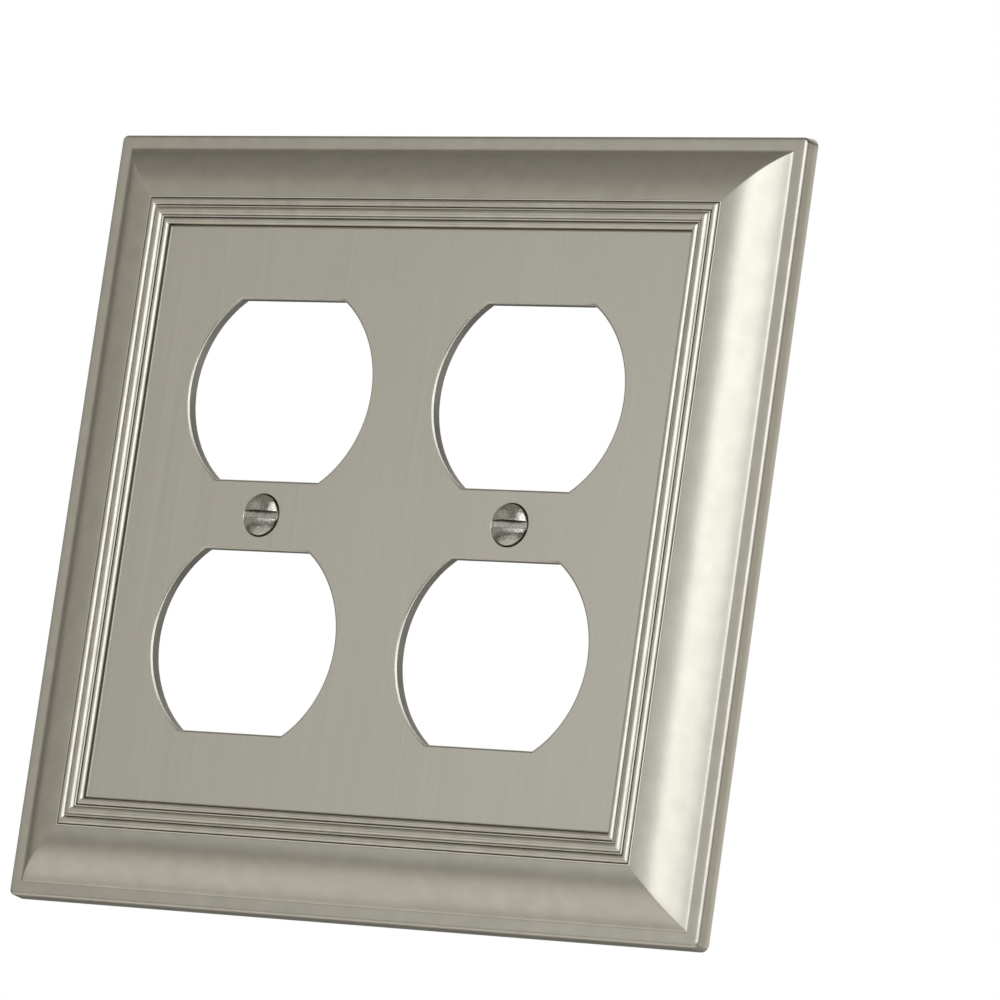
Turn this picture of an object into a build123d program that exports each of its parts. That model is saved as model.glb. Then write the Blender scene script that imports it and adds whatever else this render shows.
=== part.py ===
from build123d import *
from math import cos, radians, tan
import os

# A decorative wall plate for two duplex receptacles side by side, and the two screws that hold it.
# X is to the right and +Z is up. The front faces -Y, and Y = 0 is the wall behind the plate.
# All lengths are in millimetres. A height is a distance out from the wall.

# Outline of the plate
plate_width = 128.0
plate_height = 121.0
corner_radius = 1.2
side_draft = 5.0
lip_height = 2.75
lip_edge_radius = 0.6

# Moulding, as (distance in from the outline, height off the wall)
lip_width = 2.5
crown_head = (10.95, 7.02)
crown_rise = 1.0
quirk = ((11.0, 7.1), (11.17, 7.12), (11.2, 7.0), (11.3, 7.0))
outer_bead = ((11.34, 7.12), (12.42, 7.12))
outer_bead_rise = 0.36
outer_groove = ((12.45, 7.02), (12.54, 7.02))
shoulder = ((12.57, 7.2), (12.82, 7.24))
middle_bead = ((12.87, 7.28), (13.99, 7.28))
middle_bead_rise = 0.35
inner_groove = ((14.32, 7.0), (14.41, 7.0))
inner_bead = ((14.45, 7.08), (15.42, 7.0))
inner_bead_rise = 0.34
inner_foot = (15.56, 6.64)
panel_edge = 15.9

# Panel and the hollow behind it
panel_front = 6.5
panel_thickness = 1.8
rim_width = 2.2
rim_depth = 0.8
hollow_inner = 11.2
hollow_outer_radius = 1.5
hollow_inner_radius = 1.0

# Receptacle openings and the spacing of the two devices
gang_spacing = 46.04
opening_spacing = 38.9
opening_radius = 17.1
opening_flats = 28.2
opening_edge_radius = 0.25

# Screw holes: a clearance hole, an 82 degree countersink and a boss behind the panel
screw_hole_radius = 1.95
sink_radius = 3.35
sink_angle = 82.0
boss_radius = 5.0
boss_depth = 1.4

# Screws: slotted oval heads and 6-32 threads
head_radius = 3.15
head_land = 0.2
head_gap = 0.1
head_edge = 0.3
dome_height = 1.15
slot_width = 1.1
slot_depth = 1.3
screw_length = 19.05
neck_radius = 1.5
neck_end = 3.0
thread_radius = 1.7525
thread_root_radius = 1.265
thread_pitch = 0.79375
tip_taper = 0.4

overlap = 0.5
half_sink = radians(sink_angle / 2)
panel_back = panel_front - panel_thickness
bead_middle = (middle_bead[0][0] + middle_bead[1][0]) / 2
far_shoulder = [(2 * bead_middle - inset, height) for inset, height in reversed(shoulder)]

wall = Plane.XZ
moulding_plane = Plane(origin=(0, 0, -plate_height / 2), x_dir=(0, 0, 1), z_dir=(1, 0, 0))


# The plate is one casting: lip, crown, beads and panel in front, hollow behind.
with BuildSketch() as opening:
    Circle(opening_radius)
    Rectangle(2 * opening_radius, opening_flats, mode=Mode.INTERSECT)

with BuildPart() as wall_plate:
    # Flat lip around the foot of the moulding
    with BuildSketch(wall):
        RectangleRounded(plate_width, plate_height, corner_radius)
    extrude(amount=lip_height, taper=side_draft)
    fillet(faces().sort_by(Axis.Y)[0].edges(), lip_edge_radius)

    # Crown and beads, mitred at the corners
    with BuildLine(wall):
        Polyline(
            (0, -plate_height / 2),
            (plate_width / 2, -plate_height / 2),
            (plate_width / 2, plate_height / 2),
            (-plate_width / 2, plate_height / 2),
            (-plate_width / 2, -plate_height / 2),
            close=True,
        )
    with BuildSketch(moulding_plane):
        with BuildLine():
            SagittaArc((lip_width, lip_height), crown_head, crown_rise)
            Polyline(crown_head, *quirk, outer_bead[0])
            SagittaArc(*outer_bead, outer_bead_rise)
            Polyline(outer_bead[1], *outer_groove, *shoulder, middle_bead[0])
            SagittaArc(*middle_bead, middle_bead_rise)
            Polyline(middle_bead[1], *far_shoulder, *inner_groove, inner_bead[0])
            SagittaArc(*inner_bead, inner_bead_rise)
            Polyline(
                inner_bead[1],
                inner_foot,
                (panel_edge, panel_front),
                (panel_edge + overlap, panel_front),
                (panel_edge + overlap, 0),
                (lip_width, 0),
                (lip_width, lip_height),
            )
        make_face()
    sweep(transition=Transition.RIGHT)

    # Panel inside the beads
    with BuildSketch(wall):
        Rectangle(plate_width - 2 * panel_edge, plate_height - 2 * panel_edge)
    extrude(amount=panel_front)

    # Hollow back, which leaves a narrow rim on the wall
    with BuildSketch(wall):
        RectangleRounded(
            plate_width - 2 * rim_width, plate_height - 2 * rim_width, hollow_outer_radius
        )
    extrude(amount=rim_depth, mode=Mode.SUBTRACT)
    with BuildSketch(wall.offset(rim_depth)):
        RectangleRounded(
            plate_width - 2 * rim_width, plate_height - 2 * rim_width, hollow_outer_radius
        )
    with BuildSketch(wall.offset(panel_back)):
        RectangleRounded(
            plate_width - 2 * hollow_inner, plate_height - 2 * hollow_inner, hollow_inner_radius
        )
    loft(mode=Mode.SUBTRACT)

    # Receptacle openings, with their front edges eased
    with BuildSketch(wall.offset(panel_front)):
        with GridLocations(gang_spacing, opening_spacing, 2, 2):
            add(opening.sketch)
    extrude(amount=-panel_front, mode=Mode.SUBTRACT)
    panel_face = faces().filter_by(Axis.Y).filter_by(
        lambda face: abs(face.center().Y + panel_front) < opening_edge_radius
    ).sort_by(SortBy.AREA)[-1]
    fillet(panel_face.inner_wires().edges(), opening_edge_radius)

    # Screw bosses and countersunk holes
    with BuildSketch(wall.offset(panel_back - boss_depth)):
        with GridLocations(gang_spacing, 0, 2, 1):
            Circle(boss_radius)
    extrude(amount=boss_depth + overlap)
    with Locations(wall.offset(panel_front)):
        with GridLocations(gang_spacing, 0, 2, 1):
            CounterSinkHole(
                radius=screw_hole_radius,
                counter_sink_radius=sink_radius,
                depth=panel_front,
                counter_sink_angle=sink_angle,
            )

wall_plate.part.label = "wall_plate"


# Screw outline: radius from the axis, then height off the wall
cone_top = panel_front - (sink_radius - head_radius - head_gap / cos(half_sink)) / tan(half_sink)
cone_end = cone_top - (head_radius - neck_radius) / tan(half_sink)
head_rim = cone_top + head_land
tip = head_rim - screw_length
dome_top = (0, head_rim + dome_height)
dome_edge = (head_radius - head_edge / 2, head_rim + head_edge)
dome_rise = dome_height - head_edge
dome_radius = (dome_edge[0] ** 2 + dome_rise**2) / (2 * dome_rise)

crest_flat = thread_pitch / 8
root_flat = thread_pitch / 4
flank = (thread_pitch - crest_flat - root_flat) / 2
thread_count = int((neck_end - tip - tip_taper - flank) / thread_pitch)

thread_outline = []
for turn in range(thread_count):
    turn_start = neck_end - turn * thread_pitch
    thread_outline += [
        (thread_root_radius, turn_start),
        (thread_root_radius, turn_start - root_flat),
        (thread_radius, turn_start - root_flat - flank),
        (thread_radius, turn_start - root_flat - flank - crest_flat),
    ]
thread_end = neck_end - thread_count * thread_pitch

screws = {}
for name, side in (("left_screw", -1), ("right_screw", 1)):
    screw_x = side * gang_spacing / 2
    with BuildPart() as screw:
        # Outline turned about the screw's axis; rings stand in for the helix of the thread
        with BuildSketch(Plane(origin=(screw_x, 0, 0), x_dir=(1, 0, 0), z_dir=(0, 0, -1))):
            with BuildLine():
                Line((0, tip), dome_top)
                RadiusArc(dome_top, dome_edge, dome_radius)
                Polyline(
                    dome_edge,
                    (head_radius, head_rim),
                    (head_radius, cone_top),
                    (neck_radius, cone_end),
                    (neck_radius, neck_end),
                    *thread_outline,
                    (thread_root_radius, thread_end),
                    (thread_root_radius, tip + tip_taper),
                    (thread_root_radius - tip_taper, tip),
                    (0, tip),
                )
            make_face()
        revolve(axis=Axis((screw_x, 0, 0), (0, 1, 0)))

        # Screwdriver slot, level with the floor
        with BuildSketch(wall.offset(head_rim + dome_height)):
            with Locations((screw_x, 0)):
                Rectangle(2 * head_radius + 2 * overlap, slot_width)
        extrude(amount=-slot_depth, mode=Mode.SUBTRACT)
    screw.part.label = name
    screws[name] = screw.part


os.makedirs("parts", exist_ok=True)
export_step(wall_plate.part, "parts/wall_plate.step")
for name, screw_part in screws.items():
    export_step(screw_part, f"parts/{name}.step")
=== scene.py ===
import math

import bmesh
import bpy
import numpy as np
from mathutils import Matrix, Vector
from mathutils.geometry import delaunay_2d_cdt


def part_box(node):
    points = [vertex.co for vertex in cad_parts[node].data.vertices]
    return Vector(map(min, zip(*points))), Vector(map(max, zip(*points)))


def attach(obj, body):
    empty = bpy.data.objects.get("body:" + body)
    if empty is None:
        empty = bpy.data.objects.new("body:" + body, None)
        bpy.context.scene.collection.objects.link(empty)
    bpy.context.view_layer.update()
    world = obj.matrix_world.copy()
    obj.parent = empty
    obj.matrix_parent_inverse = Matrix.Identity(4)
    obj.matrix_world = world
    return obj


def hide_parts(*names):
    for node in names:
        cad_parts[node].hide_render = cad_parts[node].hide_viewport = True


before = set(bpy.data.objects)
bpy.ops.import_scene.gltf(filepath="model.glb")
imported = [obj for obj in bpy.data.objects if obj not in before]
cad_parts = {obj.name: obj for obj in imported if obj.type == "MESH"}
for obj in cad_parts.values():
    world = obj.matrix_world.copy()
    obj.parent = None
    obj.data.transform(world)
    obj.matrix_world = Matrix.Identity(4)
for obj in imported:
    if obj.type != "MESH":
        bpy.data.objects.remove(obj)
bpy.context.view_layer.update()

# A two-gang wall plate and its two screws. Shapes are worked out in millimetres, with heights
# measured out from the wall, and put into the frame's metres when each mesh is made.
MM = 0.001

plate_low, plate_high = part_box("wall_plate")
HALF_WIDTH = (plate_high.x - plate_low.x) / 2 / MM
HALF_HEIGHT = (plate_high.z - plate_low.z) / 2 / MM

# Moulding: distances in from the outline, and heights
SIDE_DRAFT = 5.0
BASE_EDGE = 0.15
LIP_HEIGHT = 2.75
LIP_EDGE = 0.6
LIP_WIDTH = 2.5
LIP_FILLET = 0.25
CROWN_HEAD = (10.95, 7.02)
CROWN_RISE = 1.0
QUIRK = ((11.0, 7.1), (11.17, 7.12), (11.2, 7.0), (11.3, 7.0))
OUTER_BEAD = ((11.34, 7.12), (12.42, 7.12))
OUTER_RISE = 0.36
OUTER_GROOVE = ((12.45, 7.02), (12.54, 7.02))
SHOULDER = ((12.57, 7.2), (12.82, 7.24))
MIDDLE_BEAD = ((12.87, 7.28), (13.99, 7.28))
MIDDLE_RISE = 0.35
INNER_GROOVE = ((14.32, 7.0), (14.41, 7.0))
INNER_BEAD = ((14.45, 7.08), (15.42, 7.0))
INNER_RISE = 0.34
INNER_FLANK = (15.445, 6.95)
INNER_FOOT = (15.56, 6.64)
PANEL_EDGE = 15.9
PANEL_FILLET_RISE = 0.04
# Distances in between which the foot of the inner bead is painted fully dark, as painted shade
SHADED_FOOT = (15.43, 15.57)

# Panel, hollow back and rim
PANEL_FRONT = 6.5
PANEL_BACK = 4.7
RIM_WIDTH = 2.2
RIM_DEPTH = 0.8
HOLLOW_INNER = 11.2
CORNER_RADIUS = 1.2
MITRE_RADIUS = 0.16
HOLLOW_CORNER = 1.2

# Openings and screw holes
GANG_SPACING = 46.04
OPENING_SPACING = 38.9
OPENING_RADIUS = 17.1
OPENING_FLATS = 28.2
# Worn front edge of an opening: along the panel, then deep
OPENING_EDGE = (0.28, 0.18)
OPENING_EDGE_RISE = 0.03
BACK_EDGE = 0.12
SCREW_HOLE = 1.95
SINK_RADIUS = 3.35
SINK_EDGE = 0.06
HALF_SINK = math.radians(41.0)
BOSS_RADIUS = 5.0
BOSS_END = 3.3
BOSS_FILLET = 0.12

# Screws
HEAD_RADIUS = 3.15
HEAD_LAND = 0.2
HEAD_GAP = 0.1
HEAD_EDGE = 0.3
DOME_HEIGHT = 1.15
SLOT_WIDTH = 1.1
SLOT_DEPTH = 1.3
SLOT_BEVEL = 0.1
SCREW_LENGTH = 19.05
NECK_RADIUS = 1.5
NECK_END = 3.0
THREAD_RADIUS = 1.7525
THREAD_ROOT = 1.265
PITCH = 0.79375
TIP_RADIUS = 0.9
# Thread form, as fractions of the pitch
THREAD_CREST = 0.125
THREAD_FLANK = 0.3125
THREAD_PHASES = (0.0, 0.125, 0.28, 0.4375, 0.5625, 0.72, 0.875)

# Mesh density
SIDE_STEPS = 96
CORNER_STEPS = 6
CIRCLE_STEPS = 72
TURN_STEPS = 72
DOME_STEPS = 20
GRID_STEP = 3.5
GRID_CLEARANCE = 0.4 * GRID_STEP
BEND_REACH = 0.16
# Bend given to the foot of the inner bead, for full painted shade there
FULL_PAINTED_SHADE = -1.0
SHARP = math.radians(33.0)


# ---------------------------------------------------------------- shapes

class Shell:
    """Collects the loops and faces of one closed mesh. A loop is a list of vertex numbers."""

    def __init__(self):
        self.points = []
        self.bends = []
        self.faces = []
        self.finish = []
        self.flat = []

    def loop(self, outline, height, bend=0.0):
        """Adds a closed outline of (x, z) points, and how far the surface bends outwards there."""
        start = len(self.points)
        self.points += [(x, -height, z) for x, z in outline]
        self.bends += [bend] * len(outline)
        return list(range(start, len(self.points)))

    def face(self, corners, finish, flat=False):
        self.faces.append(corners)
        self.finish.append(finish)
        self.flat.append(flat)

    def bridge(self, first, second, finish):
        """Joins two loops of the same length with a band of quads."""
        for i in range(len(first)):
            j = (i + 1) % len(first)
            self.face((first[i], first[j], second[j], second[i]), finish)

    def fill(self, outer, holes, height, finish):
        """Fills the flat region between an outer loop and its holes with even triangles."""
        loops = [outer, *holes]
        ids = [v for loop in loops for v in loop]
        flat = np.array([(self.points[v][0], self.points[v][2]) for v in ids])
        edges, start = [], 0
        for loop in loops:
            edges += [(start + i, start + (i + 1) % len(loop)) for i in range(len(loop))]
            start += len(loop)
        polygons = [np.array([(self.points[v][0], self.points[v][2]) for v in loop]) for loop in loops]
        low, high = flat.min(0), flat.max(0)
        steps = np.ceil((high - low) / GRID_STEP).astype(int)
        for x in np.linspace(low[0], high[0], steps[0] + 1)[1:-1]:
            for z in np.linspace(low[1], high[1], steps[1] + 1)[1:-1]:
                point = np.array([x, z])
                near = np.linalg.norm(flat - point, axis=1).min()
                if near > GRID_CLEARANCE and in_region(point, polygons):
                    ids.append(len(self.points))
                    self.points.append((x, -height, z))
                    self.bends.append(0.0)
                    flat = np.vstack([flat, point])
        places = [Vector(p) for p in flat]
        result = delaunay_2d_cdt(places, edges, [], 0, 1e-7)
        source = [original[0] for original in result[3]]
        for triangle in result[2]:
            corners = [source[v] for v in triangle]
            if in_region(flat[corners].mean(0), polygons):
                self.face(tuple(ids[v] for v in corners), finish, flat=True)

    def to_object(self, name, materials):
        """Makes the Blender object, in metres, with crisp edges kept crisp."""
        mesh = bpy.data.meshes.new(name)
        mesh.from_pydata([Vector(p) * MM for p in self.points], [], self.faces)
        for polygon, finish, flat in zip(mesh.polygons, self.finish, self.flat):
            polygon.material_index = finish
            polygon.use_smooth = not flat
        mesh.attributes.new("bend", "FLOAT", "POINT").data.foreach_set("value", self.bends)
        return finish_mesh(name, mesh, materials)


def in_region(point, polygons):
    """True inside the first polygon and outside the others."""
    x, z = point
    inside = []
    for polygon in polygons:
        nxt = np.roll(polygon, -1, axis=0)
        crosses = (polygon[:, 1] > z) != (nxt[:, 1] > z)
        rise = np.where(crosses, nxt[:, 1] - polygon[:, 1], 1.0)
        at = polygon[:, 0] + (z - polygon[:, 1]) * (nxt[:, 0] - polygon[:, 0]) / rise
        inside.append(bool((crosses & (x < at)).sum() % 2))
    return inside[0] and not any(inside[1:])


def finish_mesh(name, mesh, materials):
    """Turns the faces outwards, marks the sharp edges and links the object."""
    work = bmesh.new()
    work.from_mesh(mesh)
    bmesh.ops.recalc_face_normals(work, faces=work.faces)
    for edge in work.edges:
        edge.smooth = len(edge.link_faces) == 2 and edge.calc_face_angle() < SHARP
    work.to_mesh(mesh)
    work.free()
    for material in materials:
        mesh.materials.append(material)
    piece = bpy.data.objects.new(name, mesh)
    bpy.context.scene.collection.objects.link(piece)
    return piece


def arc(start, end, rise, steps):
    """Points along an arc that stands rise above its chord, without the first point."""
    (x0, y0), (x1, y1) = start, end
    chord = math.hypot(x1 - x0, y1 - y0)
    radius = chord * chord / (8 * rise) + rise / 2
    half = math.asin(chord / 2 / radius)
    along = ((x1 - x0) / chord, (y1 - y0) / chord)
    up = (-along[1], along[0])
    points = []
    for k in range(1, steps + 1):
        turn = half * (2 * k / steps - 1)
        run = chord / 2 + radius * math.sin(turn)
        lift = radius * math.cos(turn) - radius + rise
        points.append((x0 + run * along[0] + lift * up[0], y0 + run * along[1] + lift * up[1]))
    return points


def quarter(corner, first, last, steps):
    """Points round a corner from corner + first to corner + last, which are at right angles."""
    points = []
    for k in range(steps + 1):
        turn = math.pi / 2 * k / steps
        keep, gain = 1 - math.sin(turn), 1 - math.cos(turn)
        points.append((
            corner[0] + first[0] * keep + last[0] * gain,
            corner[1] + first[1] * keep + last[1] * gain,
        ))
    return points


def outward_bends(profile):
    """How far each point stands out from the line between the places on either side of it."""
    points = np.array(profile)
    along = np.concatenate([[0], np.cumsum(np.linalg.norm(np.diff(points, axis=0), axis=1))])

    def place(distance):
        return np.stack([np.interp(distance, along, points[:, axis]) for axis in (0, 1)], axis=1)

    before, after = place(along - BEND_REACH), place(along + BEND_REACH)
    chord = after - before
    normal = np.stack([-chord[:, 1], chord[:, 0]], axis=1)
    normal /= np.linalg.norm(normal, axis=1)[:, None]
    return ((points - (before + after) / 2) * normal).sum(axis=1) / BEND_REACH


def rectangle(inset, radius):
    """Points round the plate at a distance in from its outline, with rounded corners."""
    wide, high = HALF_WIDTH - inset - radius, HALF_HEIGHT - inset - radius
    corners = [(1, 1), (-1, 1), (-1, -1), (1, -1)]
    points = []
    for turn, (side, rise) in enumerate(corners):
        for k in range(CORNER_STEPS + 1):
            angle = math.pi / 2 * (turn + k / CORNER_STEPS)
            points.append((
                side * wide + radius * math.cos(angle), rise * high + radius * math.sin(angle)
            ))
        start = points[-1]
        angle = math.pi / 2 * (turn + 1)
        side, rise = corners[(turn + 1) % 4]
        end = (side * wide + radius * math.cos(angle), rise * high + radius * math.sin(angle))
        for k in range(1, SIDE_STEPS):
            t = k / SIDE_STEPS
            points.append((start[0] + (end[0] - start[0]) * t, start[1] + (end[1] - start[1]) * t))
    return points


def opening(centre, grow):
    """Outline of a receptacle opening, a circle with flats above and below, grown outwards."""
    radius, flat = OPENING_RADIUS + grow, OPENING_FLATS / 2 + grow
    reach = math.asin(flat / radius)
    points = []
    for side in (1, -1):
        for k in range(CIRCLE_STEPS // 2):
            angle = -reach + 2 * reach * k / (CIRCLE_STEPS // 2)
            points.append((side * radius * math.cos(angle), side * radius * math.sin(angle)))
        edge = math.sqrt(radius**2 - flat**2)
        for k in range(CIRCLE_STEPS // 6):
            t = k / (CIRCLE_STEPS // 6)
            points.append((side * edge * (1 - 2 * t), side * flat))
    return [(centre[0] + x, centre[1] + z) for x, z in points]


def circle(centre, radius):
    """Points round a circle."""
    return [
        (
            centre[0] + radius * math.cos(2 * math.pi * k / CIRCLE_STEPS),
            centre[1] + radius * math.sin(2 * math.pi * k / CIRCLE_STEPS),
        )
        for k in range(CIRCLE_STEPS)
    ]


def moulding_outline():
    """(inset, height) points from the edge of the hollow back, round the rim and over the moulding."""
    slope = (HOLLOW_INNER - RIM_WIDTH, PANEL_BACK - RIM_DEPTH)
    back = [
        (HOLLOW_INNER, PANEL_BACK),
        (HOLLOW_INNER - 0.06 * slope[0], PANEL_BACK - 0.03 * slope[1]),
        (HOLLOW_INNER - 0.15 * slope[0], PANEL_BACK - 0.12 * slope[1]),
        (RIM_WIDTH + 0.5 * slope[0], RIM_DEPTH + 0.5 * slope[1]),
        (RIM_WIDTH + 0.1 * slope[0], RIM_DEPTH + 0.1 * slope[1]),
        (RIM_WIDTH + 0.02 * slope[0], RIM_DEPTH),
    ]
    back += quarter((RIM_WIDTH, 0), (0, BASE_EDGE), (-BASE_EDGE, 0), 3)
    back += quarter((0, 0), (BASE_EDGE, 0), (0, BASE_EDGE), 3)
    lean = math.tan(math.radians(SIDE_DRAFT)) * LIP_HEIGHT
    lip = quarter((lean, LIP_HEIGHT), (0, -LIP_EDGE), (LIP_EDGE, 0), 8)
    lip += [(lean + LIP_EDGE + 0.5, LIP_HEIGHT), (LIP_WIDTH - LIP_FILLET, LIP_HEIGHT)]
    crown_foot = (LIP_WIDTH + 0.6 * LIP_FILLET, LIP_HEIGHT + 0.6 * LIP_FILLET)
    lip += arc(lip[-1], crown_foot, -0.2 * LIP_FILLET, 5)
    crown = arc(crown_foot, CROWN_HEAD, CROWN_RISE, 26)
    middle = (MIDDLE_BEAD[0][0] + MIDDLE_BEAD[1][0]) / 2
    beads = [*QUIRK, OUTER_BEAD[0], *arc(*OUTER_BEAD, OUTER_RISE, 14), *OUTER_GROOVE]
    beads += [*SHOULDER, MIDDLE_BEAD[0], *arc(*MIDDLE_BEAD, MIDDLE_RISE, 12)]
    beads += [(2 * middle - inset, height) for inset, height in reversed(SHOULDER)]
    beads += [*INNER_GROOVE, INNER_BEAD[0], *arc(*INNER_BEAD, INNER_RISE, 12), INNER_FLANK, INNER_FOOT]
    beads += arc(INNER_FOOT, (PANEL_EDGE, PANEL_FRONT), -PANEL_FILLET_RISE, 5)
    return back + lip + crown + beads


def corner_radius(inset, behind):
    """Radius of a ring's corners: tight on the mitres, and wide in the hollow behind."""
    if behind:
        return HOLLOW_CORNER
    return max(CORNER_RADIUS - inset, MITRE_RADIUS)


def screw_centres():
    return [(side * GANG_SPACING / 2, 0.0) for side in (-1, 1)]


def opening_centres():
    return [
        (side * GANG_SPACING / 2, rise * OPENING_SPACING / 2) for side in (-1, 1) for rise in (-1, 1)
    ]


def make_plate(materials):
    """The whole casting as one closed mesh: moulding, panel, openings, screw holes and hollow back."""
    panel, moulding, bead, rear = range(4)
    shell = Shell()
    rings = []
    outline = moulding_outline()
    bends = outward_bends(outline)
    # The foot of the inner bead gets the full painted shade, near black
    for i, (inset, height) in enumerate(outline):
        if SHADED_FOOT[0] < inset < SHADED_FOOT[1] and height > PANEL_FRONT:
            bends[i] = FULL_PAINTED_SHADE
    first_rim = next(i for i, (inset, height) in enumerate(outline) if height < BASE_EDGE)
    for i, (inset, height) in enumerate(outline):
        shape = rectangle(inset, corner_radius(inset, i <= first_rim))
        rings.append(shell.loop(shape, height, bends[i]))
        if i:
            if height < BASE_EDGE or i <= first_rim:
                finish = rear
            else:
                finish = bead if inset > QUIRK[0][0] else moulding
            shell.bridge(rings[-2], rings[-1], finish)

    front_holes, back_holes = [], []
    for centre in opening_centres():
        edge_start = (OPENING_EDGE[0], PANEL_FRONT)
        edge = [edge_start, *arc(edge_start, (0, PANEL_FRONT - OPENING_EDGE[1]), OPENING_EDGE_RISE, 5)]
        foot = quarter((0, PANEL_BACK), (0, BACK_EDGE), (BACK_EDGE, 0), 3)
        bends = outward_bends([(-grow, height) for grow, height in edge + foot])
        loops = [
            shell.loop(opening(centre, grow), height, bend)
            for (grow, height), bend in zip(edge + foot, bends)
        ]
        for i, (a, b) in enumerate(zip(loops, loops[1:])):
            shell.bridge(a, b, bead if i < len(edge) - 1 else rear)
        front_holes.append(loops[0])
        back_holes.append(loops[-1])

    for centre in screw_centres():
        sink_end = PANEL_FRONT - (SINK_RADIUS - SCREW_HOLE) / math.tan(HALF_SINK)
        bore = [(SINK_RADIUS + SINK_EDGE, PANEL_FRONT), (SINK_RADIUS, PANEL_FRONT - SINK_EDGE / 2)]
        bore += [(SINK_RADIUS - SINK_EDGE, PANEL_FRONT - 2 * SINK_EDGE), (SCREW_HOLE, sink_end)]
        bore += quarter((SCREW_HOLE, BOSS_END), (0, BACK_EDGE), (BACK_EDGE, 0), 3)
        bore += quarter((BOSS_RADIUS, BOSS_END), (-BACK_EDGE, 0), (0, BACK_EDGE), 3)
        bore += quarter((BOSS_RADIUS, PANEL_BACK), (0, -BOSS_FILLET), (BOSS_FILLET, 0), 5)
        loops = [shell.loop(circle(centre, radius), height) for radius, height in bore]
        for i, (a, b) in enumerate(zip(loops, loops[1:])):
            shell.bridge(a, b, moulding if i < 3 else rear)
        front_holes.append(loops[0])
        back_holes.append(loops[-1])

    shell.fill(rings[-1], front_holes, PANEL_FRONT, panel)
    shell.fill(rings[0], back_holes, PANEL_BACK, rear)
    return shell.to_object("wall_plate_casting", materials)


def screw_outline():
    """(radius, height) points from the top of the dome down to the end of the neck."""
    sink_drop = (SINK_RADIUS - HEAD_RADIUS - HEAD_GAP / math.cos(HALF_SINK)) / math.tan(HALF_SINK)
    cone_top = PANEL_FRONT - sink_drop
    cone_end = cone_top - (HEAD_RADIUS - NECK_RADIUS) / math.tan(HALF_SINK)
    rim = cone_top + HEAD_LAND
    edge = (HEAD_RADIUS - 0.45 * HEAD_EDGE, rim + HEAD_EDGE)
    rise = DOME_HEIGHT - HEAD_EDGE
    dome = (edge[0] ** 2 + rise**2) / (2 * rise)
    reach = math.asin(edge[0] / dome)
    points = []
    for k in range(1, DOME_STEPS + 1):
        turn = reach * k / DOME_STEPS
        points.append((dome * math.sin(turn), rim + DOME_HEIGHT - dome * (1 - math.cos(turn))))
    points += arc(edge, (HEAD_RADIUS, rim), 0.06, 6)
    points += [(HEAD_RADIUS, cone_top + 0.02), (HEAD_RADIUS - 0.03, cone_top - 0.02)]
    points += [(NECK_RADIUS + 0.15, cone_end + 0.15), (NECK_RADIUS + 0.03, cone_end)]
    points.append((NECK_RADIUS, cone_end - 0.15))
    return points, rim


def thread_radius(phase, height, tip):
    """Radius of the thread at a phase of its turn, faded in below the neck and chamfered at the tip."""
    rise = min(max((abs(phase - 0.5) - THREAD_CREST / 2) / THREAD_FLANK, 0.0), 1.0)
    cut = THREAD_RADIUS + (THREAD_ROOT - THREAD_RADIUS) * rise
    fade = min(max((NECK_END - height) / PITCH, 0.0), 1.0)
    return min(NECK_RADIUS + (cut - NECK_RADIUS) * fade, TIP_RADIUS + (height - tip))


def make_screw(name, centre, materials):
    """A slotted oval-head screw: a turned head and neck, one helical thread and a cut slot."""
    outline, rim = screw_outline()
    top, tip = rim + DOME_HEIGHT, rim - SCREW_LENGTH
    work = bmesh.new()
    angles = [2 * math.pi * k / TURN_STEPS for k in range(TURN_STEPS)]

    def point(radius, angle, height):
        return work.verts.new((radius * math.cos(angle), -height, radius * math.sin(angle)))

    def band(first, second):
        for i in range(TURN_STEPS):
            j = (i + 1) % TURN_STEPS
            work.faces.new((first[i], first[j], second[j], second[i]))

    apex = point(0, 0, top)
    rings = [[point(r, a, h) for a in angles] for r, h in outline]
    rings.append([point(NECK_RADIUS, a, NECK_END) for a in angles])
    for i in range(TURN_STEPS):
        work.faces.new((apex, rings[0][i], rings[0][(i + 1) % TURN_STEPS]))
    for first, second in zip(rings, rings[1:]):
        band(first, second)

    # Rows follow the helix, so that each row's end meets the row one turn further down
    turns = int((NECK_END - tip) / PITCH) + 2
    rows = []
    for turn in range(-1, turns):
        for phase in THREAD_PHASES:
            row = []
            for k, angle in enumerate(angles):
                drop = (turn + phase + k / TURN_STEPS) * PITCH
                height = min(max(NECK_END - drop, tip), NECK_END)
                row.append(point(thread_radius(phase, height, tip), angle, height))
            rows.append(row)
    count = len(THREAD_PHASES)
    for i in range(len(rows) - count - 1):
        for k in range(TURN_STEPS):
            if k + 1 < TURN_STEPS:
                corners = (rows[i][k], rows[i][k + 1], rows[i + 1][k + 1], rows[i + 1][k])
            else:
                corners = (rows[i][k], rows[i + count][0], rows[i + count + 1][0], rows[i + 1][k])
            work.faces.new(corners)
    end = point(0, 0, tip)
    last = [point(TIP_RADIUS, a, tip) for a in angles]
    for i in range(TURN_STEPS):
        work.faces.new((end, last[(i + 1) % TURN_STEPS], last[i]))
    bmesh.ops.remove_doubles(work, verts=work.verts, dist=1e-4)
    loose = [v for v in work.verts if not v.link_faces]
    bmesh.ops.delete(work, geom=loose, context="VERTS")
    bmesh.ops.recalc_face_normals(work, faces=work.faces)
    for face in work.faces:
        face.smooth = True
    work.transform(Matrix.Translation((centre[0], 0, centre[1])))
    work.transform(Matrix.Scale(MM, 4))
    mesh = bpy.data.meshes.new(name)
    work.to_mesh(mesh)
    work.free()
    mesh = cut_slot(mesh, centre, top)
    return finish_mesh(name, mesh, materials)


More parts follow.
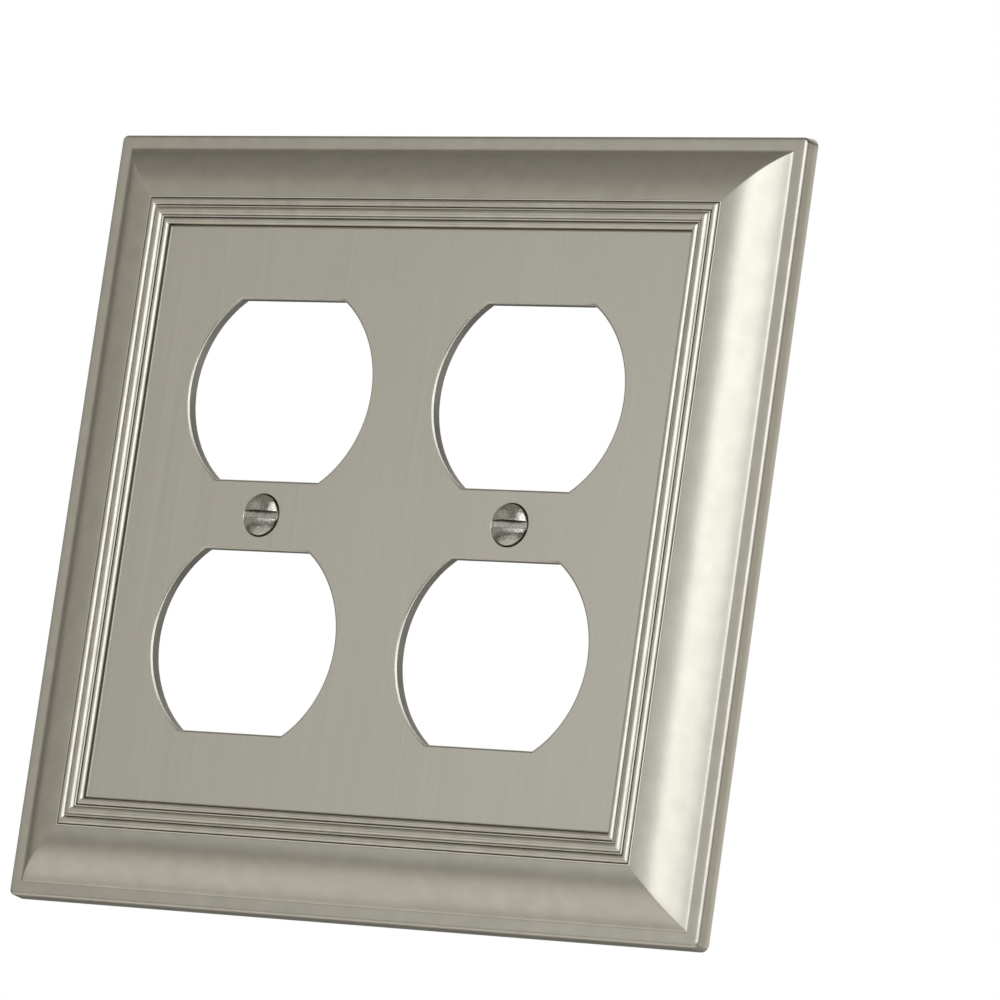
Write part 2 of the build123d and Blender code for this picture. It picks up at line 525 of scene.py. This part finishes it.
def cut_slot(mesh, centre, top):
    """Cuts the screwdriver slot out of a screw's mesh, softens its edges and returns the new mesh."""
    body = bpy.data.objects.new("slot_work", mesh)
    box = bmesh.new()
    bmesh.ops.create_cube(box, size=1.0)
    depth = 2 * SLOT_DEPTH
    box.transform(Matrix.Diagonal((3 * HEAD_RADIUS, depth, SLOT_WIDTH, 1)))
    box.transform(Matrix.Translation((centre[0], -(top - SLOT_DEPTH + depth / 2), centre[1])))
    box.transform(Matrix.Scale(MM, 4))
    cutter_mesh = bpy.data.meshes.new("slot_cutter")
    box.to_mesh(cutter_mesh)
    box.free()
    cutter = bpy.data.objects.new("slot_cutter", cutter_mesh)
    for each in (body, cutter):
        bpy.context.scene.collection.objects.link(each)
    cut = body.modifiers.new("slot", "BOOLEAN")
    cut.operation = "DIFFERENCE"
    cut.solver = "EXACT"
    cut.object = cutter
    depsgraph = bpy.context.evaluated_depsgraph_get()
    result = bpy.data.meshes.new_from_object(body.evaluated_get(depsgraph))
    for each in (body, cutter):
        bpy.data.objects.remove(each)

    work = bmesh.new()
    work.from_mesh(result)
    half = SLOT_WIDTH / 2 * MM
    middle = centre[1] * MM
    lips = [
        edge for edge in work.edges
        if all(abs(abs(v.co.z - middle) - half) < 1e-6 and -v.co.y > PANEL_FRONT * MM for v in edge.verts)
        and edge.calc_face_angle(0) > SHARP
    ]
    bmesh.ops.bevel(work, geom=lips, offset=SLOT_BEVEL * MM, segments=3, affect="EDGES", profile=0.5)
    floor = (top - SLOT_DEPTH) * MM
    for face in work.faces:
        place = face.calc_center_median()
        in_slot = abs(place.z - middle) < half + SLOT_BEVEL * MM and -place.y > floor + 1e-6
        # Slot walls and bevelled lips take the second material, painted shade
        face.material_index = int(in_slot and abs(face.normal.z) > 0.35)
        face.smooth = True
    work.to_mesh(result)
    work.free()
    return result


# ---------------------------------------------------------------- materials

class Nodes:
    """Short names for making and joining shader nodes."""

    def __init__(self, name):
        self.material = bpy.data.materials.new(name)
        self.material.use_nodes = True
        self.tree = self.material.node_tree
        self.shader = self.tree.nodes["Principled BSDF"]

    def add(self, kind, **settings):
        node = self.tree.nodes.new(kind)
        for key, value in settings.items():
            setattr(node, key, value)
        return node

    def join(self, source, target):
        self.tree.links.new(source, target)

    def millimetres(self, scale=(1, 1, 1)):
        """The object's own coordinates in millimetres, each times its scale."""
        place = self.add("ShaderNodeTexCoord")
        mapping = self.add("ShaderNodeMapping")
        mapping.inputs["Scale"].default_value = [s / MM for s in scale]
        self.join(place.outputs["Object"], mapping.inputs["Vector"])
        return mapping.outputs["Vector"]

    def noise(self, scale, size=1.0, detail=2.0, rough=0.5):
        node = self.add("ShaderNodeTexNoise")
        node.inputs["Scale"].default_value = size
        node.inputs["Detail"].default_value = detail
        node.inputs["Roughness"].default_value = rough
        self.join(self.millimetres(scale), node.inputs["Vector"])
        return node.outputs["Fac"]

    def ranged(self, value, low, high, start=0.0, end=1.0):
        node = self.add("ShaderNodeMapRange")
        node.inputs["From Min"].default_value = start
        node.inputs["From Max"].default_value = end
        node.inputs["To Min"].default_value = low
        node.inputs["To Max"].default_value = high
        self.join(value, node.inputs["Value"])
        return node.outputs["Result"]

    def math(self, operation, first, second):
        node = self.add("ShaderNodeMath", operation=operation)
        for socket, value in zip(node.inputs, (first, second)):
            if isinstance(value, (int, float)):
                socket.default_value = value
            else:
                self.join(value, socket)
        return node.outputs[0]

    def blend(self, factor, first, second):
        """Mixes two colours."""
        node = self.add("ShaderNodeMix", data_type="RGBA")
        self.join(factor, node.inputs["Factor"])
        for socket, value in zip((node.inputs[6], node.inputs[7]), (first, second)):
            if isinstance(value, tuple):
                socket.default_value = (*value, 1)
            else:
                self.join(value, socket)
        return node.outputs[2]

    def bump(self, height, depth_mm, strength=1.0, under=None):
        node = self.add("ShaderNodeBump")
        node.inputs["Strength"].default_value = strength
        node.inputs["Distance"].default_value = depth_mm * MM
        self.join(height, node.inputs["Height"])
        if under is not None:
            self.join(under, node.inputs["Normal"])
        return node.outputs["Normal"]

    def bend(self, low, high):
        """How far the surface bends outwards, from 0 at low to 1 at high."""
        node = self.add("ShaderNodeAttribute", attribute_name="bend")
        return self.ranged(node.outputs["Fac"], 0.0, 1.0, low, high)


NICKEL = (0.54, 0.512, 0.44)
NICKEL_DULL = (0.49, 0.464, 0.398)
NICKEL_BRIGHT = (0.62, 0.592, 0.515)
# Wear and painted highlight on the convex edges
NICKEL_WEAR_AND_HIGHLIGHT = (0.86, 0.83, 0.75)
# Painted shade: near black in the creases
NICKEL_CREASE_SHADE = (0.08, 0.072, 0.056)
CAST_DARK = (0.30, 0.29, 0.265)
CAST_PALE = (0.42, 0.41, 0.375)
CAST_PITS = (0.2, 0.19, 0.17)
SCREW_DARK = (0.30, 0.29, 0.25)
SCREW_BRIGHT = (0.60, 0.58, 0.52)
# Painted shade on the walls and lips of the screwdriver slot
SLOT_SHADE_DARK = (0.06, 0.055, 0.045)
SLOT_SHADE_PALE = (0.15, 0.14, 0.12)
FLOOR_COLOUR = (0.85, 0.85, 0.84)
FLOOR_GLOW = (0.6, 0.6, 0.59)
ROOM_COLOUR = (0.083, 0.08, 0.073)

# Bend at which wear and painted highlight start and are full, and the same for the painted shade in
# creases on the crown and on the beads
WORN_AND_HIGHLIT_EDGES = (0.15, 0.4)
CROWN_CREASE_SHADE = (-0.2, -0.5)
BEAD_CREASE_SHADE = (-0.06, -0.33)


def panel_material():
    """Nickel brushed up and down the panel."""
    n = Nodes("brushed_nickel_panel")
    fine = n.noise((9.0, 1, 0.035), detail=3.0, rough=0.6)
    broad = n.noise((1.6, 1, 0.02), detail=2.0)
    cloud = n.noise((0.03, 0.03, 0.03), detail=2.0)
    streaks = n.math("ADD", n.math("MULTIPLY", fine, 0.6), n.math("MULTIPLY", broad, 0.4))
    colour = n.blend(n.ranged(streaks, 0.0, 1.0, 0.3, 0.7), NICKEL_DULL, NICKEL)
    colour = n.blend(n.ranged(cloud, 0.0, 0.1, 0.35, 0.7), colour, NICKEL_BRIGHT)
    n.join(colour, n.shader.inputs["Base Color"])
    n.join(n.ranged(streaks, 0.30, 0.42, 0.3, 0.7), n.shader.inputs["Roughness"])
    n.shader.inputs["Metallic"].default_value = 1.0
    n.shader.inputs["Anisotropic"].default_value = 0.5
    tangent = n.add("ShaderNodeTangent", direction_type="RADIAL", axis="Z")
    n.join(tangent.outputs["Tangent"], n.shader.inputs["Tangent"])
    normal = n.bump(fine, 0.002)
    n.join(n.bump(broad, 0.003, under=normal), n.shader.inputs["Normal"])
    return n.material


def satin_material(name, colour, brighter, crease_shade):
    """Satin nickel over a cast surface, with painted shade darkening the creases, and wear with a painted
    highlight lightening the convex edges.
    """
    n = Nodes(name)
    grain = n.noise((1, 1, 1), size=3.5, detail=4.0, rough=0.6)
    cast = n.noise((1, 1, 1), size=0.35, detail=3.0)
    colour = n.blend(n.ranged(cast, 0.0, 1.0, 0.3, 0.7), colour, brighter)
    # Convex edges lightened: partly wear, partly a painted highlight
    colour = n.blend(n.bend(*WORN_AND_HIGHLIT_EDGES), colour, NICKEL_WEAR_AND_HIGHLIGHT)
    # Creases darkened almost to black: painted shade
    colour = n.blend(n.bend(*crease_shade), colour, NICKEL_CREASE_SHADE)
    n.join(colour, n.shader.inputs["Base Color"])
    n.join(n.ranged(grain, 0.34, 0.42, 0.3, 0.7), n.shader.inputs["Roughness"])
    n.shader.inputs["Metallic"].default_value = 1.0
    normal = n.bump(grain, 0.004)
    n.join(n.bump(cast, 0.006, under=normal), n.shader.inputs["Normal"])
    return n.material


def back_material():
    """The plated but unpolished inside of the casting."""
    n = Nodes("cast_back")
    grain = n.noise((1, 1, 1), size=5.0, detail=5.0, rough=0.65)
    flow = n.noise((1, 1, 1), size=0.12, detail=3.0)
    colour = n.blend(n.ranged(flow, 0.0, 1.0, 0.3, 0.7), CAST_DARK, CAST_PALE)
    colour = n.blend(n.ranged(grain, 0.35, 0.0, 0.3, 0.55), colour, CAST_PITS)
    n.join(colour, n.shader.inputs["Base Color"])
    n.join(n.ranged(grain, 0.48, 0.62, 0.3, 0.7), n.shader.inputs["Roughness"])
    n.shader.inputs["Metallic"].default_value = 1.0
    normal = n.bump(grain, 0.03)
    n.join(n.bump(flow, 0.15, under=normal), n.shader.inputs["Normal"])
    return n.material


def screw_material():
    """Bright nickel plate with fine scratches and small dents."""
    n = Nodes("bright_nickel_screw")
    scratch = n.noise((1, 1, 1), size=4.0, detail=4.0, rough=0.7)
    dents = n.noise((1, 1, 1), size=1.3, detail=2.0)
    colour = n.blend(n.ranged(scratch, 0.0, 1.0, 0.35, 0.65), SCREW_DARK, SCREW_BRIGHT)
    n.join(colour, n.shader.inputs["Base Color"])
    n.join(n.ranged(scratch, 0.13, 0.26, 0.35, 0.65), n.shader.inputs["Roughness"])
    n.shader.inputs["Metallic"].default_value = 1.0
    normal = n.bump(scratch, 0.02)
    n.join(n.bump(dents, 0.06, under=normal), n.shader.inputs["Normal"])
    return n.material


def slot_shade_material():
    """Painted shade on the walls and bevelled lips of the screwdriver slot: dark, speckled, rougher
    nickel.
    """
    n = Nodes("painted_shade_slot")
    speckle = n.noise((1, 1, 1), size=4.0, detail=3.0)
    colour = n.blend(n.ranged(speckle, 0.0, 1.0, 0.3, 0.7), SLOT_SHADE_DARK, SLOT_SHADE_PALE)
    n.join(colour, n.shader.inputs["Base Color"])
    n.join(n.ranged(speckle, 0.4, 0.6, 0.3, 0.7), n.shader.inputs["Roughness"])
    n.shader.inputs["Metallic"].default_value = 1.0
    return n.material


def floor_material():
    """Pale matt floor, kept pale in the picture without adding light to the metal."""
    n = Nodes("pale_floor")
    path = n.add("ShaderNodeLightPath")
    n.join(path.outputs["Is Camera Ray"], n.shader.inputs["Emission Strength"])
    n.shader.inputs["Emission Color"].default_value = (*FLOOR_GLOW, 1)
    n.shader.inputs["Base Color"].default_value = (*FLOOR_COLOUR, 1)
    n.shader.inputs["Roughness"].default_value = 0.6
    return n.material


# ---------------------------------------------------------------- studio

COOL = (0.93, 0.955, 1.0)
WARM = (1.0, 0.98, 0.92)
FLOOR_DROP = 0.9
FLOOR_SIZE = 30.0

CAMERA_AZIMUTH = 35.5
CAMERA_ELEVATION = -8.4
CAMERA_ROLL = 8.1
CAMERA_DISTANCE = 1.112
CAMERA_TARGET = (0.01379, 0.00431)
SENSOR = 36.0
FOCAL_PIXELS = 7377.0
FRAME_PIXELS = 1000.0


def direction(azimuth, elevation):
    """Unit vector from the object towards a place round it, azimuth 0 being straight in front."""
    a, e = math.radians(azimuth), math.radians(elevation)
    return Vector((math.sin(a) * math.cos(e), -math.cos(a) * math.cos(e), math.sin(e)))


def make_camera():
    data = bpy.data.cameras.new("camera")
    data.sensor_width = SENSOR
    data.lens = FOCAL_PIXELS * SENSOR / FRAME_PIXELS
    data.clip_start, data.clip_end = 0.01, 50.0
    camera = bpy.data.objects.new("camera", data)
    bpy.context.scene.collection.objects.link(camera)
    back = direction(CAMERA_AZIMUTH, CAMERA_ELEVATION)
    level = Vector((math.cos(math.radians(CAMERA_AZIMUTH)), math.sin(math.radians(CAMERA_AZIMUTH)), 0))
    roll = math.radians(CAMERA_ROLL)
    upright = back.cross(level)
    right = level * math.cos(roll) + upright * math.sin(roll)
    up = upright * math.cos(roll) - level * math.sin(roll)
    target = right * CAMERA_TARGET[0] + up * CAMERA_TARGET[1]
    turn = Matrix((right, up, back)).transposed().to_4x4()
    camera.matrix_world = Matrix.Translation(target + back * CAMERA_DISTANCE) @ turn
    bpy.context.scene.camera = camera


def softbox(name, azimuth, elevation, distance, size, brightness, tint):
    """A soft panel of light that faces the object, as bright as brightness when seen in a mirror."""
    data = bpy.data.lights.new(name, "AREA")
    data.shape = "RECTANGLE"
    data.size, data.size_y = size
    data.color = tint
    data.energy = brightness * math.pi * size[0] * size[1]
    lamp = bpy.data.objects.new(name, data)
    bpy.context.scene.collection.objects.link(lamp)
    towards = direction(azimuth, elevation)
    lamp.location = towards * distance
    lamp.rotation_mode = "QUATERNION"
    lamp.rotation_quaternion = towards.to_track_quat("Z", "Y")
    lamp.visible_camera = False


def make_studio():
    bpy.ops.mesh.primitive_plane_add(size=FLOOR_SIZE, location=(0, 0, -FLOOR_DROP))
    floor = bpy.context.object
    floor.name = "floor"
    floor.data.materials.append(floor_material())

    softbox("key", 32, 21, 1.2, (1.1, 1.25), 2.3, COOL)
    softbox("front", -6, 2, 1.1, (1.1, 0.6), 1.0, COOL)
    softbox("side", 68, 6, 1.3, (0.6, 1.0), 1.35, COOL)
    softbox("rim", 138, -4, 1.4, (1.6, 1.4), 0.6, WARM)
    softbox("back", 200, 25, 1.5, (1.6, 1.4), 0.9, WARM)
    softbox("left_fill", -64, 10, 1.6, (2.2, 1.4), 0.4, WARM)
    softbox("overhead", -35, 62, 1.3, (1.8, 1.9), 0.24, WARM)
    softbox("bounce", -30, -54, 0.9, (1.3, 1.0), 0.53, WARM)

    world = bpy.data.worlds.new("studio")
    world.use_nodes = True
    bpy.context.scene.world = world
    tree = world.node_tree
    surroundings = tree.nodes["Background"]
    surroundings.inputs["Color"].default_value = (*ROOM_COLOUR, 1)
    backdrop = tree.nodes.new("ShaderNodeBackground")
    backdrop.inputs["Color"].default_value = (1, 1, 1, 1)
    path = tree.nodes.new("ShaderNodeLightPath")
    mix = tree.nodes.new("ShaderNodeMixShader")
    tree.links.new(path.outputs["Is Camera Ray"], mix.inputs["Fac"])
    tree.links.new(surroundings.outputs[0], mix.inputs[1])
    tree.links.new(backdrop.outputs[0], mix.inputs[2])
    tree.links.new(mix.outputs[0], tree.nodes["World Output"].inputs["Surface"])
    bpy.context.scene.view_settings.view_transform = "Standard"


# ---------------------------------------------------------------- the object

make_camera()
make_studio()

crown_finish = satin_material("satin_nickel_crown", NICKEL_DULL, NICKEL, CROWN_CREASE_SHADE)
# The beads get a brighter base colour than the crown
bead_finish = satin_material("brighter_nickel_beads", NICKEL, NICKEL_BRIGHT, BEAD_CREASE_SHADE)
plate = make_plate([panel_material(), crown_finish, bead_finish, back_material()])
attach(plate, "plate")
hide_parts("wall_plate")

finishes = [screw_material(), slot_shade_material()]
for body, place in zip(("left_screw", "right_screw"), screw_centres()):
    screw = make_screw(body + "_turned", place, finishes)
    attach(screw, body)
    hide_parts(body)
